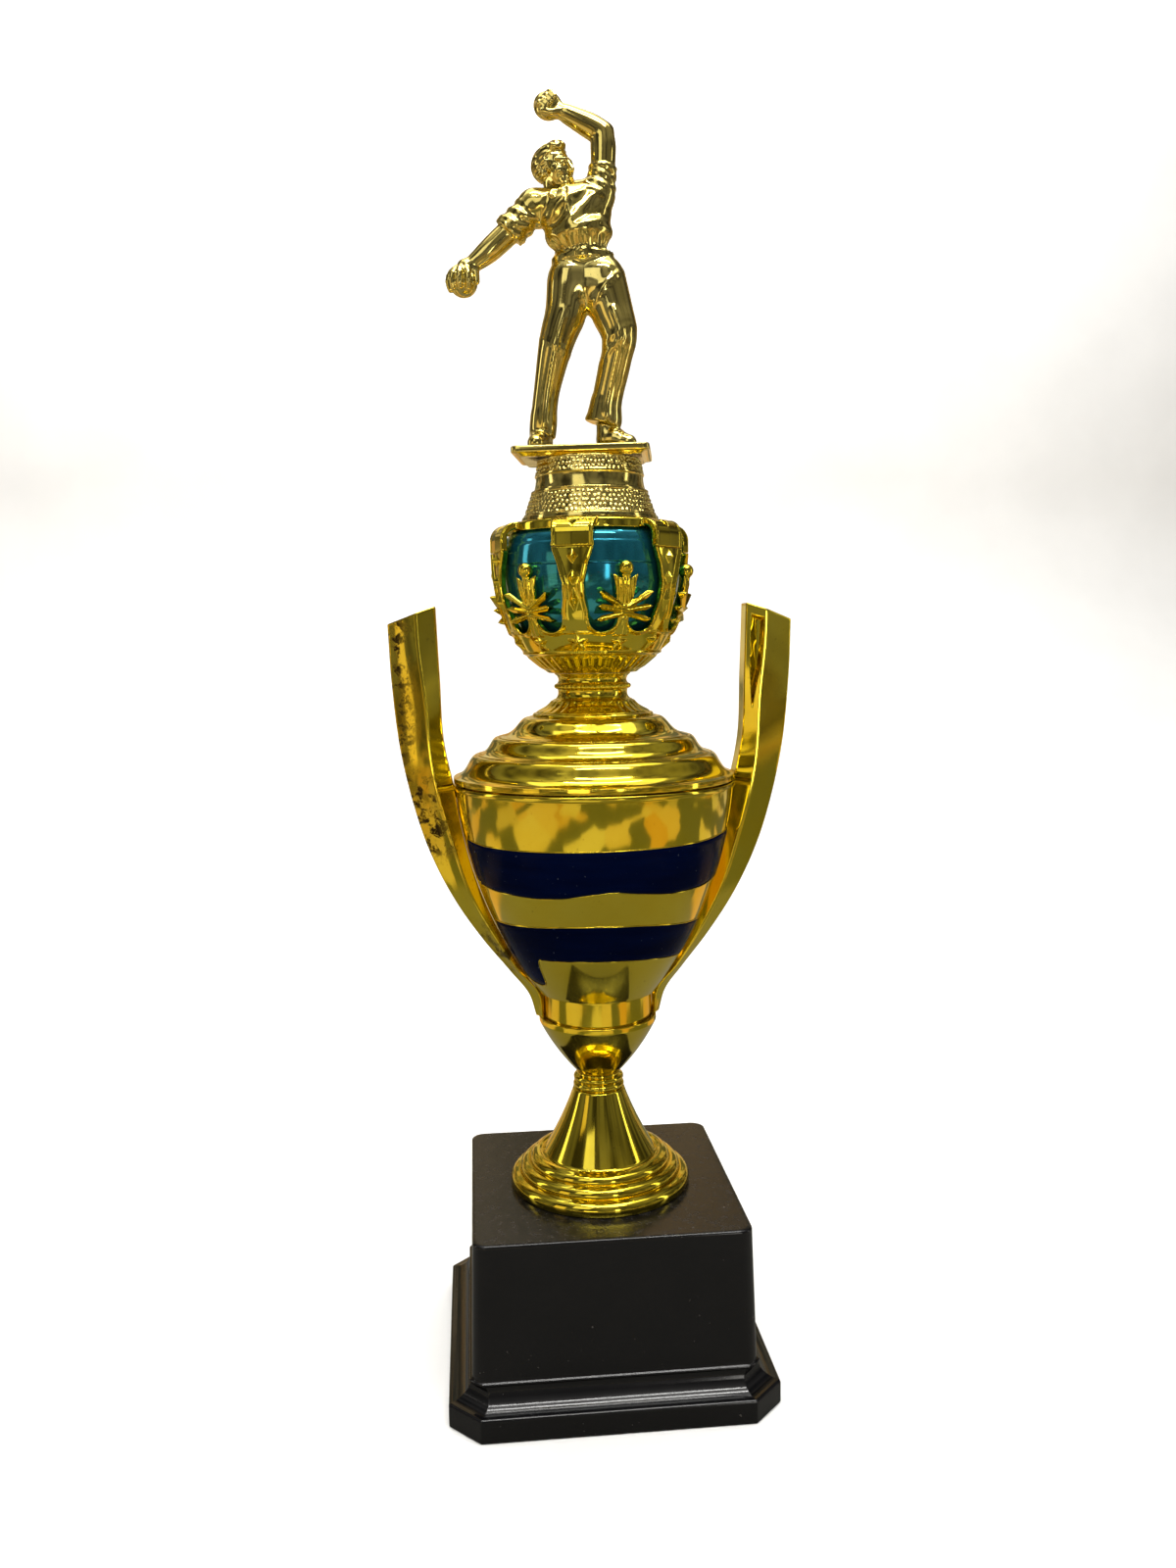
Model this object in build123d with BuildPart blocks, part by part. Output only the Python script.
from build123d import *
from math import cos, hypot, radians, sin, sqrt
import os

os.makedirs("parts", exist_ok=True)

# Trophy: plinth, foot, cup with two tall handles, and a lift-off lid that
# carries a basket, a riser and a figure. Millimetres, +Z up, origin at the
# centre of the plinth's underside, front of the cup facing -Y.

# ---- driving dimensions -------------------------------------------------
gap = 0.1                 # assembly gap between stacked mouldings

base_height = 75.0
deck_half = 56.0          # half width of the plinth's top face
box_low_half = 57.7       # half width where the box meets the cove
skirt_half = 67.0
skirt_height = 9.6
cove_top = 18.0
corner_cut = 12.5         # leg of the cut on the skirt's corners
base_wall = 2.6
deck_thickness = 3.2

rod_radius = 3.0          # M6 rod through plinth, foot and cup
rod_hole = 3.3
upper_rod_radius = 2.5    # M5 rod through lid, basket and riser
upper_rod_hole = 2.8

foot_radius = 38.9
foot_top = 117.0
foot_top_radius = 11.0
collar_top = 124.0
collar_radius = 10.8

socket_rim = 149.9        # height of the socket's rim
socket_radius = 25.1
band_radius = 23.2
spigot_bottom = 147.6
bowl_bottom = 161.0
bowl_rim = 250.6
bowl_curve_r = -114.6     # centre of the arc that the bowl's wall follows
bowl_curve_z = 264.0
bowl_curve_radius = 173.68
bowl_wall = 1.8
bowl_floor = 163.6

peg_radius = 1.6
peg_height = 246.4
peg_start = 57.6          # the peg runs from here out into the handle
peg_length = 6.0

lid_seat = 251.0
lid_radius = 58.9
lid_top = 278.0
lid_wall = 1.8

neck_top = 295.8
post_count = 6
post_turn = -105.7        # compass place of the first post, from +X
cage_bottom = 296.0
cage_radius = 40.3
cage_joint = 344.9
cage_wall = 2.2
cage_floor = 298.2
cage_upright = 338.0      # the basket's wall stands upright above this height
crown_top = 356.6
riser_bottom = 356.8
riser_top = 382.3

plate_bottom = 382.4
plate_top = 386.4
plate_half_x = 27.7
plate_half_y = 19.0
plate_shift = -2.4        # the plate sits this far off the rod's axis
plate_turn = -10.0        # degrees that the figure is turned about the rod


def bowl_radius(z, inward=0.0):
    """Radius of the bowl's wall at a height, or of a line inside it."""
    reach = bowl_curve_radius - inward
    return bowl_curve_r + sqrt(reach ** 2 - (z - bowl_curve_z) ** 2)


def bowl_arc(z_low, z_high, inward=0.0):
    """The bowl's wall line between two heights, as an arc."""
    points = []
    for z in (z_low, (z_low + z_high) / 2, z_high):
        points.append((bowl_radius(z, inward), z))
    return ThreePointArc(*points)


def outward_plane(angle):
    """A plane on the axis that faces out of the trophy at an angle from +X."""
    turn = radians(angle)
    return Plane(origin=(0, 0, 0), x_dir=(-sin(turn), cos(turn), 0),
                 z_dir=(cos(turn), sin(turn), 0))


# ---- plinth -------------------------------------------------------------
cove_radius = cove_top - skirt_height - 0.6
cove_centre = skirt_half - 0.8
corner_distance = (2 * skirt_half - corner_cut) / sqrt(2)
hollow_half = box_low_half - base_wall

with BuildPart() as base_shell:
    with BuildSketch():
        Rectangle(2 * skirt_half, 2 * skirt_half)
        chamfer(vertices(), corner_cut)
    extrude(amount=cove_top)
    for side in range(8):
        distance = cove_centre
        if side % 2:
            distance = corner_distance - skirt_half + cove_centre
        turn = radians(45 * side)
        middle = (distance * cos(turn), distance * sin(turn), cove_top + 0.2)
        with BuildSketch(Plane(origin=middle, x_dir=(cos(turn), sin(turn), 0),
                               z_dir=(-sin(turn), cos(turn), 0))):
            Circle(cove_radius)
        extrude(amount=2 * skirt_half, both=True, mode=Mode.SUBTRACT)
    with BuildSketch(Plane.XY.offset(skirt_height)):
        RectangleRounded(2 * box_low_half, 2 * box_low_half, 3.5)
    with BuildSketch(Plane.XY.offset(base_height)):
        RectangleRounded(2 * deck_half, 2 * deck_half, 3.0)
    loft()
    fillet(faces().sort_by(Axis.Z)[-1].edges(), 1.2)
    with BuildSketch():
        Rectangle(2 * hollow_half, 2 * hollow_half)
    extrude(amount=base_height - deck_thickness, taper=1.6, mode=Mode.SUBTRACT)
    with Locations((0, 0, base_height)):
        Hole(rod_hole)

ballast_half = 46.0
ballast_height = 8.0
ballast_top = base_height - deck_thickness - gap
with BuildPart() as ballast_plate:
    with BuildSketch(Plane.XY.offset(ballast_top - ballast_height)):
        Rectangle(2 * ballast_half, 2 * ballast_half)
        chamfer(vertices(), 6)
        Circle(rod_hole, mode=Mode.SUBTRACT)
    extrude(amount=ballast_height)
    chamfer(edges().group_by(Axis.Z)[0].filter_by(GeomType.LINE), 0.8)

# ---- rods, nuts and washers ---------------------------------------------
thread_play = 0.05
washer_radius = 9.0
washer_height = 1.5
nut_radius = 5.77         # M6 nut, over its corners
nut_height = 5.0
small_washer_radius = 7.5
small_washer_height = 1.2
small_nut_radius = 4.62   # M5 nut, over its corners
small_nut_height = 4.0

base_washer_bottom = ballast_top - ballast_height - gap - washer_height
base_nut_bottom = base_washer_bottom - gap - nut_height
cup_washer_bottom = bowl_floor + gap
cup_nut_bottom = cup_washer_bottom + washer_height + gap
lid_underside = lid_top - lid_wall
lid_washer_bottom = lid_underside - gap - small_washer_height
lid_nut_bottom = lid_washer_bottom - gap - small_nut_height
figure_nut_bottom = 373.0


def washer(bottom, radius, hole, height):
    """A flat washer with its underside at a height."""
    with BuildPart() as disc:
        with BuildSketch(Plane.XY.offset(bottom)):
            Circle(radius)
            Circle(hole, mode=Mode.SUBTRACT)
        extrude(amount=height)
    return disc.part


def nut(bottom, radius, thread, height):
    """A six-sided nut with its underside at a height."""
    with BuildPart() as block:
        with BuildSketch(Plane.XY.offset(bottom)):
            RegularPolygon(radius, 6)
            Circle(thread + thread_play, mode=Mode.SUBTRACT)
        extrude(amount=height)
    return block.part


def rod(bottom, top, radius):
    """A threaded rod, taken as a plain bar with chamfered ends."""
    with BuildPart() as bar:
        with BuildSketch(Plane.XY.offset(bottom)):
            Circle(radius)
        extrude(amount=top - bottom)
        chamfer(edges().filter_by(GeomType.CIRCLE), radius / 6)
    return bar.part


base_washer = washer(base_washer_bottom, washer_radius, rod_hole, washer_height)
cup_washer = washer(cup_washer_bottom, washer_radius, rod_hole, washer_height)
lid_washer = washer(lid_washer_bottom, small_washer_radius, upper_rod_hole, small_washer_height)
base_nut = nut(base_nut_bottom, nut_radius, rod_radius, nut_height)
cup_nut = nut(cup_nut_bottom, nut_radius, rod_radius, nut_height)
lid_nut = nut(lid_nut_bottom, small_nut_radius, upper_rod_radius, small_nut_height)
figure_nut = nut(figure_nut_bottom, small_nut_radius, upper_rod_radius, small_nut_height)
lower_rod = rod(base_nut_bottom - 4, cup_nut_bottom + nut_height + 2, rod_radius)
upper_rod = rod(lid_nut_bottom - 3, figure_nut_bottom + small_nut_height + 3, upper_rod_radius)

# ---- foot, collar and socket --------------------------------------------
foot_bottom = base_height + gap
cone_foot = (24.3, 88.9)
with BuildPart() as foot:
    with BuildSketch(Plane.XZ):
        with BuildLine():
            Line((0, foot_bottom), (foot_radius, foot_bottom))
            Line((foot_radius, foot_bottom), (foot_radius, 77.8))
            ThreePointArc((foot_radius, 77.8), (38.0, 79.8), (36.0, 80.6))
            Line((36.0, 80.6), (34.5, 80.6))
            ThreePointArc((34.5, 80.6), (34.3, 83.4), (32.4, 84.9))
            Line((32.4, 84.9), (30.2, 84.9))
            ThreePointArc((30.2, 84.9), (29.9, 87.2), (28.2, 88.5))
            Line((28.2, 88.5), (25.0, 88.5))
            Line((25.0, 88.5), cone_foot)
            ThreePointArc(cone_foot, (16.7, 103.0), (foot_top_radius, foot_top))
            Line((foot_top_radius, foot_top), (0, foot_top))
            Line((0, foot_top), (0, foot_bottom))
        make_face()
    revolve(axis=Axis.Z)
    with BuildSketch(Plane.XZ):
        with BuildLine():
            Polyline((0, foot_bottom), (36.9, foot_bottom), (36.9, 77.8), (32.4, 79.4),
                     (28.0, 83.6), (22.6, 87.4))
            ThreePointArc((22.6, 87.4), (14.8, 102.0), (9.0, foot_top - 2.2))
            Polyline((9.0, foot_top - 2.2), (0, foot_top - 2.2), (0, foot_bottom))
        make_face()
    revolve(axis=Axis.Z, mode=Mode.SUBTRACT)
    with Locations((0, 0, foot_top)):
        Hole(rod_hole)

collar_bottom = foot_top + gap
with BuildPart() as stem_collar:
    with BuildSketch(Plane.XZ):
        with BuildLine():
            Line((rod_hole, collar_bottom), (10.4, collar_bottom))
            Line((10.4, collar_bottom), (10.4, collar_bottom + 1.0))
            ThreePointArc((10.4, collar_bottom + 1.0), (collar_radius, 120.4), (9.6, 122.6))
            Line((9.6, 122.6), (9.2, collar_top))
            Line((9.2, collar_top), (rod_hole, collar_top))
            Line((rod_hole, collar_top), (rod_hole, collar_bottom))
        make_face()
    revolve(axis=Axis.Z)

socket_bottom = collar_top + gap
socket_wall = 1.7
socket_floor = 127.0
socket_ledge = 147.4      # the socket stands upright above this height
with BuildPart() as cup_socket:
    with BuildSketch(Plane.XZ):
        with BuildLine():
            Line((0, socket_bottom), (9.0, socket_bottom))
            ThreePointArc((9.0, socket_bottom), (18.9, 136.6), (socket_radius, socket_ledge))
            Line((socket_radius, socket_ledge), (socket_radius, socket_rim))
            Line((socket_radius, socket_rim), (0, socket_rim))
            Line((0, socket_rim), (0, socket_bottom))
        make_face()
    revolve(axis=Axis.Z)
    with BuildSketch(Plane.XZ):
        with BuildLine():
            Line((0, socket_floor), (8.6, socket_floor))
            ThreePointArc((8.6, socket_floor), (17.4, 137.5), (socket_radius - socket_wall, socket_ledge))
            Line((socket_radius - socket_wall, socket_ledge), (socket_radius - socket_wall, socket_rim))
            Line((socket_radius - socket_wall, socket_rim), (0, socket_rim))
            Line((0, socket_rim), (0, socket_floor))
        make_face()
    revolve(axis=Axis.Z, mode=Mode.SUBTRACT)
    with Locations((0, 0, socket_floor)):
        Hole(rod_hole)

# ---- bowl and its stripes -----------------------------------------------
lip_bottom = 248.6
lip_radius = 59.1
mouth_radius = bowl_radius(lip_bottom, bowl_wall)
with BuildPart() as cup_bowl:
    with BuildSketch(Plane.XZ):
        with BuildLine():
            Polyline((0, spigot_bottom), (band_radius, spigot_bottom), (band_radius, bowl_bottom),
                     (bowl_radius(bowl_bottom), bowl_bottom))
            bowl_arc(bowl_bottom, lip_bottom)
            Line((bowl_radius(lip_bottom), lip_bottom), (lip_radius, lip_bottom))
            ThreePointArc((lip_radius, lip_bottom), (lip_radius + 0.2, 249.6), (lip_radius, bowl_rim))
            Polyline((lip_radius, bowl_rim), (0, bowl_rim), (0, spigot_bottom))
        make_face()
    revolve(axis=Axis.Z)
    with BuildSketch(Plane.XZ):
        with BuildLine():
            floor_radius = bowl_radius(bowl_floor, bowl_wall)
            Line((0, bowl_floor), (floor_radius, bowl_floor))
            bowl_arc(bowl_floor, lip_bottom, bowl_wall)
            Polyline((mouth_radius, lip_bottom), (mouth_radius, bowl_rim), (0, bowl_rim),
                     (0, bowl_floor))
        make_face()
    revolve(axis=Axis.Z, mode=Mode.SUBTRACT)
    with BuildSketch(Plane.XY.offset(spigot_bottom)):
        Circle(band_radius - bowl_wall)
    extrude(amount=bowl_bottom - spigot_bottom, mode=Mode.SUBTRACT)
    with Locations((0, 0, bowl_floor)):
        Hole(rod_hole)
    with BuildSketch(Plane.YZ):
        with Locations((0, peg_height)):
            Circle(peg_radius + 0.1)
    extrude(amount=lip_radius, both=True, mode=Mode.SUBTRACT)

film_height = 0.3
stripe_levels = [(180.0, 197.0), (210.0, 228.0)]
stripe_half_angle = 68.0


def stripe_films(middle):
    """Both stripes on one face of the bowl, centred on an angle from +X."""
    with BuildPart() as films:
        for low, high in stripe_levels:
            with BuildSketch(Plane.XZ):
                with BuildLine():
                    bowl_arc(low, high, -0.03)
                    bowl_arc(low, high, -film_height)
                    for z in (low, high):
                        Line((bowl_radius(z, -0.03), z), (bowl_radius(z, -film_height), z))
                make_face()
            revolve(axis=Axis.Z, revolution_arc=2 * stripe_half_angle)
    return films.part.rotate(Axis.Z, middle - stripe_half_angle)


stripe_films_front = stripe_films(-90)
stripe_films_back = stripe_films(90)

# ---- handles ------------------------------------------------------------
# Stations down one handle: outer edge x, z, inner edge x, z, half thickness.
handle_stations = [
    (84.0, 317.0, 64.4, 324.0, 9.0),
    (83.0, 292.0, 63.4, 294.0, 9.0),
    (80.2, 264.0, 62.4, 268.0, 9.0),
    (75.6, 242.0, 60.4, 250.0, 8.8),
    (69.4, 222.0, 55.2, 230.5, 8.4),
    (60.0, 202.0, 49.6, 209.5, 7.8),
    (48.0, 183.6, 41.1, 188.5, 7.0),
    (37.0, 169.6, 32.0, 172.0, 6.2),
    (29.2, 159.0, 24.4, 160.6, 5.4),
    (26.6, 150.1, 22.6, 150.1, 5.0),
]
spine_share = 0.33        # half width of the outer edge, of the half thickness
crease_place = 0.62       # where the section is thickest, from outer to inner edge
lip_share = 0.55          # half width of the inner edge
fit_gap = 0.2             # the inner edge is hollowed to sit this far off the bowl


def station_plane(outer_x, outer_z, inner_x, inner_z):
    """A plane across the handle, its X pointing from the outer to the inner edge."""
    across = Vector(inner_x - outer_x, 0, inner_z - outer_z)
    return Plane(origin=(outer_x, 0, outer_z), x_dir=across.normalized(),
                 z_dir=across.normalized().cross(Vector(0, 1, 0)))


def handle_section(width, half):
    """The six-sided outline of a handle, from its outer edge to its inner edge."""
    spine = spine_share * half
    crease = crease_place * width
    lip = lip_share * half
    Polygon((0, -spine), (crease, -half), (width, -lip), (width, lip), (crease, half),
            (0, spine), align=None)


recess_floor = -1.0       # the recess on one side goes in to this depth from the middle
recess_outline = [(66.6, 319.4), (65.8, 296.0), (66.2, 280.0), (69.8, 296.0), (70.9, 317.8)]
with BuildPart() as handle_right:
    for outer_x, outer_z, inner_x, inner_z, half in handle_stations:
        width = hypot(inner_x - outer_x, inner_z - outer_z)
        with BuildSketch(station_plane(outer_x, outer_z, inner_x, inner_z)):
            handle_section(width, half)
    loft()
    with BuildSketch(Plane.XZ):
        with BuildLine():
            band = band_radius + fit_gap
            bowl_arc(bowl_bottom, lip_bottom, -fit_gap)
            Polyline((bowl_radius(bowl_bottom, -fit_gap), bowl_bottom), (band, bowl_bottom),
                     (band, spigot_bottom), (0, spigot_bottom), (0, lip_bottom),
                     (bowl_radius(lip_bottom, -fit_gap), lip_bottom))
        make_face()
    revolve(axis=Axis.Z, mode=Mode.SUBTRACT)
    with BuildSketch(Plane.XZ.offset(-recess_floor)):
        Polygon(*recess_outline, align=None)
    extrude(amount=12, mode=Mode.SUBTRACT)
    with BuildSketch(Plane.YZ.offset(peg_start)):
        with Locations((0, peg_height)):
            Circle(peg_radius)
    extrude(amount=peg_length)

# Both handles come from one mould, so the left one is the same part turned round.
handle_left_part = handle_right.part.rotate(Axis.Z, 180)

# ---- lid ----------------------------------------------------------------
# Ogee tiers of the lid's dome: lip edges from the top down, as radius, height.
tier_lips = [(26.2, lid_top), (39.9, 269.9), (48.5, 262.8), (lid_radius, 253.6)]
lip_drop = 0.6
spigot_radius = 55.9
spigot_wall = 1.6
spigot_low = 243.5
dome_underside = [(54.0, 253.2), (46.4, 260.4), (37.2, 267.6), (31.0, 274.0)]

with BuildPart() as lid:
    with BuildSketch(Plane.XZ):
        with BuildLine():
            Line((0, lid_top), tier_lips[0])
            start = tier_lips[0]
            for lip in tier_lips[1:]:
                middle = ((start[0] + lip[0]) / 2, (start[1] + lip[1]) / 2)
                upper = ((start[0] + middle[0]) / 2 + 1.0, (start[1] + middle[1]) / 2 + 1.3)
                lower = ((lip[0] + middle[0]) / 2 - 0.5, (lip[1] + middle[1]) / 2 - 0.6)
                ThreePointArc(start, upper, middle)
                ThreePointArc(middle, lower, lip)
                start = (lip[0] + 0.05, lip[1] - lip_drop)
                Line(lip, start)
            Polyline(start, (lid_radius, lid_seat), (0, lid_seat), (0, lid_top))
        make_face()
    revolve(axis=Axis.Z)
    with BuildSketch(Plane.XZ):
        with BuildLine():
            Polyline((0, lid_seat), (spigot_radius - spigot_wall, lid_seat), *dome_underside,
                     (26.0, lid_underside), (0, lid_underside), (0, lid_seat))
        make_face()
    revolve(axis=Axis.Z, mode=Mode.SUBTRACT)
    with BuildSketch(Plane.XY.offset(spigot_low)):
        Circle(spigot_radius)
        Circle(spigot_radius - spigot_wall, mode=Mode.SUBTRACT)
    extrude(amount=lid_seat - spigot_low)
    with Locations((0, 0, lid_top)):
        Hole(upper_rod_hole)

# ---- neck ---------------------------------------------------------------
neck_bottom = lid_top + gap
with BuildPart() as neck_riser:
    with BuildSketch(Plane.XZ):
        with BuildLine():
            Polyline((0, neck_bottom), (25.4, neck_bottom), (25.4, 279.2), (23.6, 280.0),
                     (17.4, 284.6))
            ThreePointArc((17.4, 284.6), (15.0, 286.6), (14.8, 289.2))
            ThreePointArc((14.8, 289.2), (15.9, 290.4), (14.8, 291.6))
            ThreePointArc((14.8, 291.6), (14.5, 293.8), (15.8, neck_top))
            Polyline((15.8, neck_top), (0, neck_top), (0, neck_bottom))
        make_face()
    revolve(axis=Axis.Z)
    with BuildSketch(Plane.XZ):
        Polygon((0, neck_bottom), (23.4, neck_bottom), (12.6, 286.0), (12.6, neck_top - 2.2),
                (0, neck_top - 2.2), align=None)
    revolve(axis=Axis.Z, mode=Mode.SUBTRACT)
    with Locations((0, 0, neck_top)):
        Hole(upper_rod_hole)

# ---- basket -------------------------------------------------------------
window_turns = [post_turn + 30 + 360 / post_count * index for index in range(post_count)]
lobe_height = 318.5       # height of the centres of a window's two lobes
lobe_radius = 5.8
lobe_spread = 7.6
ornament_depth = 2.6
stem_size = (3.2, 6.4)
stem_depth = 4.2
ball_height = 336.4
ball_radius = 2.7
ball_depth = 3.6


def window_outline():
    """One window, seen from outside, with two lobes at its bottom."""
    edge = [(12.4, cage_joint + 1), (12.8, 344), (14.8, 338), (16.1, 331), (15.4, 325),
            (13.4, lobe_height)]
    mirrored = [(-x, z) for x, z in reversed(edge)]
    Polygon(*edge, *mirrored, align=None)
    with Locations((-lobe_spread, lobe_height), (lobe_spread, lobe_height)):
        Circle(lobe_radius)


def ray(side, level, rise):
    """One leaf of the window's ornament, from its stem outwards."""
    Polygon((side * 1.0, level), (side * 10.8, level + rise), (side * 10.4, level + rise - 1.4),
            (side * 1.0, level - 1.8), align=None)


def ornament_outline():
    """The motif that stands in a window: stem, tulip body and six leaves."""
    Polygon((-1.6, 317), (1.6, 317), (2.4, 321), (5.0, 334.2), (0, 331.6), (-5.0, 334.2),
            (-2.4, 321), align=None)
    Polygon((-1.6, 331), (1.6, 331), (1.6, 335), (-1.6, 335), align=None)
    for side in (-1, 1):
        ray(side, 323.4, 4.4)
        ray(side, 321.2, 1.0)
        ray(side, 319.6, -1.8)


with BuildPart() as cage_bowl:
    with BuildSketch(Plane.XZ):
        with BuildLine():
            Line((0, cage_bottom), (18.5, cage_bottom))
            ThreePointArc((18.5, cage_bottom), (23.9, 300.4), (28.2, 304.0))
            ThreePointArc((28.2, 304.0), (37.1, 320.6), (cage_radius, cage_upright))
            Polyline((cage_radius, cage_upright), (cage_radius, cage_joint), (0, cage_joint),
                     (0, cage_bottom))
        make_face()
    revolve(axis=Axis.Z)
    with BuildSketch(Plane.XZ):
        with BuildLine():
            Line((0, cage_floor), (16.8, cage_floor))
            ThreePointArc((16.8, cage_floor), (34.9, 321.2), (cage_radius - cage_wall, cage_upright))
            Polyline((cage_radius - cage_wall, cage_upright), (cage_radius - cage_wall, cage_joint),
                     (0, cage_joint), (0, cage_floor))
        make_face()
    revolve(axis=Axis.Z, mode=Mode.SUBTRACT)
    for angle in window_turns:
        with BuildSketch(outward_plane(angle)):
            window_outline()
        extrude(amount=cage_radius + 5, mode=Mode.SUBTRACT)
    for angle in window_turns:
        with BuildSketch(outward_plane(angle).offset(cage_radius - 2.9)):
            ornament_outline()
        extrude(amount=ornament_depth)
        with BuildSketch(outward_plane(angle).offset(cage_radius - 5.1)):
            with Locations((0, lobe_height + 0.2)):
                Rectangle(*stem_size)
        extrude(amount=stem_depth)
        with BuildSketch(outward_plane(angle).offset(cage_radius - 3.1)):
            with Locations((0, ball_height)):
                Circle(ball_radius)
        extrude(amount=ball_depth)
    with Locations((0, 0, cage_floor)):
        Hole(upper_rod_hole)

crown_bottom = cage_joint + gap
crown_radius = 40.6
crown_wall = 2.4
crown_roof = crown_top - 2.2
crown_bore = 27.0
crown_shoulder = 350.0    # the tabs hang straight below this height
tab_gap = (21.6, 25.2)    # opening between tabs, along and across its direction
tab_inside = crown_radius - crown_wall
with BuildPart() as cage_crown:
    with BuildSketch(Plane.XZ):
        with BuildLine():
            Line((crown_bore, crown_top), (34.4, crown_top))
            ThreePointArc((34.4, crown_top), (38.8, crown_roof), (crown_radius, crown_shoulder))
            Polyline((crown_radius, crown_shoulder), (crown_radius, crown_bottom),
                     (tab_inside, crown_bottom), (tab_inside, crown_shoulder))
            ThreePointArc((tab_inside, crown_shoulder), (36.8, 353.0), (34.4, crown_roof))
            Polyline((34.4, crown_roof), (crown_bore, crown_roof), (crown_bore, crown_top))
        make_face()
    revolve(axis=Axis.Z)
    for angle in window_turns:
        with BuildSketch(Plane.XY.offset(crown_bottom - 1)):
            with Locations((45 * cos(radians(angle)), 45 * sin(radians(angle)))):
                Rectangle(*tab_gap, rotation=angle)
        extrude(amount=crown_top - crown_bottom + 2, mode=Mode.SUBTRACT)

# ---- barrel insert ------------------------------------------------------
insert_seam = 339.0
insert_radius = 36.8
insert_top = 354.2
insert_wall = 1.2
insert_bottom = 298.6
with BuildPart() as insert_lower:
    with BuildSketch(Plane.XZ):
        with BuildLine():
            Line((0, insert_bottom), (15.6, insert_bottom))
            ThreePointArc((15.6, insert_bottom), (33.3, 321.0), (insert_radius, insert_seam))
            Polyline((insert_radius, insert_seam), (0, insert_seam), (0, insert_bottom))
        make_face()
    revolve(axis=Axis.Z)
    with BuildSketch(Plane.XZ):
        with BuildLine():
            Line((0, insert_bottom + insert_wall), (14.6, insert_bottom + insert_wall))
            ThreePointArc((14.6, insert_bottom + insert_wall), (32.4, 321.6),
                          (insert_radius - insert_wall, insert_seam))
            Polyline((insert_radius - insert_wall, insert_seam), (0, insert_seam),
                     (0, insert_bottom + insert_wall))
        make_face()
    revolve(axis=Axis.Z, mode=Mode.SUBTRACT)
    with Locations((0, 0, insert_bottom + insert_wall)):
        Hole(upper_rod_hole)

with BuildPart() as insert_upper:
    with BuildSketch(Plane.XZ):
        with BuildLine():
            Line((0, insert_seam + gap), (insert_radius + 0.1, insert_seam + gap))
            Line((insert_radius + 0.1, insert_seam + gap), (36.2, 347.6))
            ThreePointArc((36.2, 347.6), (34.6, 351.6), (30.6, insert_top))
            Polyline((30.6, insert_top), (0, insert_top), (0, insert_seam + gap))
        make_face()
    revolve(axis=Axis.Z)
    with BuildSketch(Plane.XZ):
        Polygon((0, insert_seam + gap), (insert_radius - insert_wall, insert_seam + gap),
                (34.8, 347.4), (33.2, 350.6), (30.0, insert_top - insert_wall),
                (0, insert_top - insert_wall), align=None)
    revolve(axis=Axis.Z, mode=Mode.SUBTRACT)
    with Locations((0, 0, insert_top)):
        Hole(upper_rod_hole)

# ---- riser --------------------------------------------------------------
boss_radius = 7.0
with BuildPart() as top_riser:
    with BuildSketch(Plane.XZ):
        Polygon((0, riser_bottom), (28.2, riser_bottom), (28.2, 359.4), (27.2, 359.4),
                (24.0, 369.4), (22.9, 369.4), (22.0, 375.4), (22.3, 376.0), (21.2, riser_top),
                (0, riser_top), align=None)
    revolve(axis=Axis.Z)
    with BuildSketch(Plane.XZ):
        Polygon((0, riser_bottom), (26.2, riser_bottom), (22.0, 369.0), (19.8, 376.0),
                (19.4, riser_top - 2), (0, riser_top - 2), align=None)
    revolve(axis=Axis.Z, mode=Mode.SUBTRACT)
    with Locations((0, 0, riser_top)):
        Hole(boss_radius + 0.3)

# ---- figure -------------------------------------------------------------
# Joints of the figure, seen from its front, as x, y, z on its own turned plane.
hip_left = (-7.2, 0.0, 455.0)
hip_right = (6.6, 0.0, 454.0)
knee_left = (-13.4, -1.0, 426.0)
knee_right = (12.6, -3.0, 429.0)
ankle_left = (-18.6, 0.5, 393.0)
ankle_right = (7.6, 3.0, 394.0)
shoulder_left = (-19.5, 0.0, 484.0)
shoulder_right = (5.6, 0.0, 486.5)
elbow_left = (-31.0, -3.0, 475.5)
hand_left = (-47.5, -7.0, 457.0)
elbow_right = (8.8, 0.5, 509.5)
hand_right = (-14.6, -2.0, 521.6)
chest = (-8.5, 0.0, 479.0)
waist = (-2.2, 0.0, 466.0)
head_centre = (-11.2, -1.0, 496.0)


def limb(start, end, start_radius, end_radius):
    """A tapered limb with round ends between two joints."""
    path = Vector(*end) - Vector(*start)
    bone = Plane(origin=start, z_dir=path.normalized())
    with BuildSketch(bone) as start_circle:
        Circle(start_radius)
    with BuildSketch(bone.offset(path.length)) as end_circle:
        Circle(end_radius)
    loft([start_circle.sketch, end_circle.sketch])
    with Locations(start):
        Sphere(start_radius)
    with Locations(end):
        Sphere(end_radius)


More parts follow.
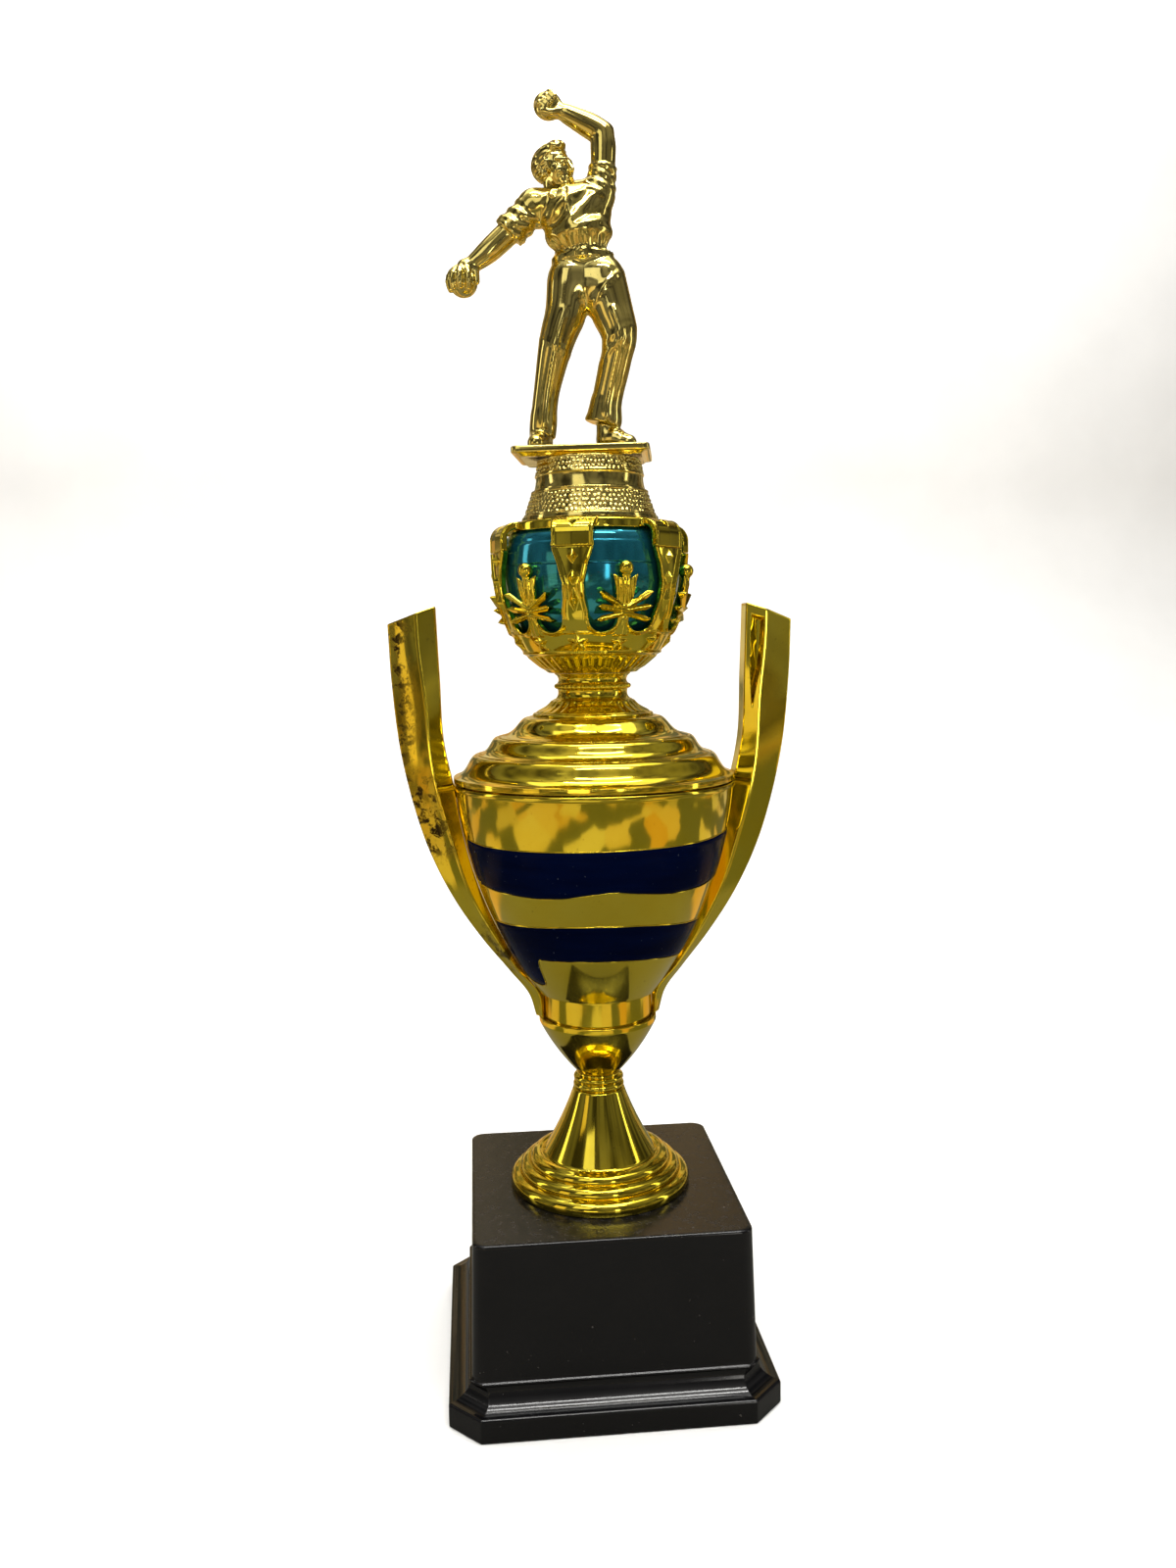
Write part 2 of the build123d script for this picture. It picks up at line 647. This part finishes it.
with BuildPart() as figure_body:
    limb(hip_left, knee_left, 8.4, 6.4)
    limb(hip_right, knee_right, 8.4, 6.9)
    limb(knee_left, ankle_left, 6.4, 4.8)
    limb(knee_right, ankle_right, 6.9, 6.0)
    limb(waist, chest, 10.6, 11.6)
    limb(hip_left, waist, 8.4, 9.6)
    limb(hip_right, waist, 8.4, 9.6)
    limb(chest, shoulder_left, 8.0, 5.6)
    limb(chest, shoulder_right, 8.0, 5.6)
    limb(shoulder_left, elbow_left, 5.6, 4.0)
    limb(elbow_left, hand_left, 4.0, 4.6)
    limb(shoulder_right, elbow_right, 5.4, 4.4)
    limb(elbow_right, hand_right, 3.8, 4.4)
    limb(chest, head_centre, 5.2, 8.2)
    for ankle in (ankle_left, ankle_right):
        limb((ankle[0], ankle[1] + 2, 390.2), (ankle[0], ankle[1] - 8, 389.2), 4.0, 3.0)
    with BuildSketch(Plane.XY.offset(plate_bottom)):
        with Locations((plate_shift, 0)):
            Rectangle(2 * plate_half_x, 2 * plate_half_y)
            chamfer(vertices(), 2.5)
    extrude(amount=plate_top - plate_bottom)
    with BuildSketch(Plane.XY.offset(figure_nut_bottom)):
        Circle(boss_radius)
    extrude(amount=plate_bottom - figure_nut_bottom)
    with BuildSketch(Plane.XY.offset(figure_nut_bottom)):
        RegularPolygon(small_nut_radius + 0.13, 6)
    extrude(amount=small_nut_height + gap, mode=Mode.SUBTRACT)
    with BuildSketch(Plane.XY.offset(figure_nut_bottom)):
        Circle(upper_rod_hole)
    extrude(amount=2 * small_nut_height, mode=Mode.SUBTRACT)

# ---- labels and files ---------------------------------------------------
pieces = {
    "base_shell": base_shell.part,
    "ballast_plate": ballast_plate.part,
    "base_washer": base_washer,
    "base_nut": base_nut,
    "lower_rod": lower_rod,
    "foot": foot.part,
    "stem_collar": stem_collar.part,
    "cup_socket": cup_socket.part,
    "cup_bowl": cup_bowl.part,
    "cup_washer": cup_washer,
    "cup_nut": cup_nut,
    "stripe_films_front": stripe_films_front,
    "stripe_films_back": stripe_films_back,
    "handle_right": handle_right.part,
    "handle_left": handle_left_part,
    "lid": lid.part,
    "lid_washer": lid_washer,
    "lid_nut": lid_nut,
    "upper_rod": upper_rod,
    "neck_riser": neck_riser.part,
    "cage_bowl": cage_bowl.part,
    "cage_crown": cage_crown.part,
    "insert_lower": insert_lower.part,
    "insert_upper": insert_upper.part,
    "top_riser": top_riser.part,
    "figure": figure_body.part.rotate(Axis.Z, plate_turn),
    "figure_nut": figure_nut.rotate(Axis.Z, plate_turn),
}
for name, piece in pieces.items():
    piece.label = name
    export_step(piece, f"parts/{name}.step")
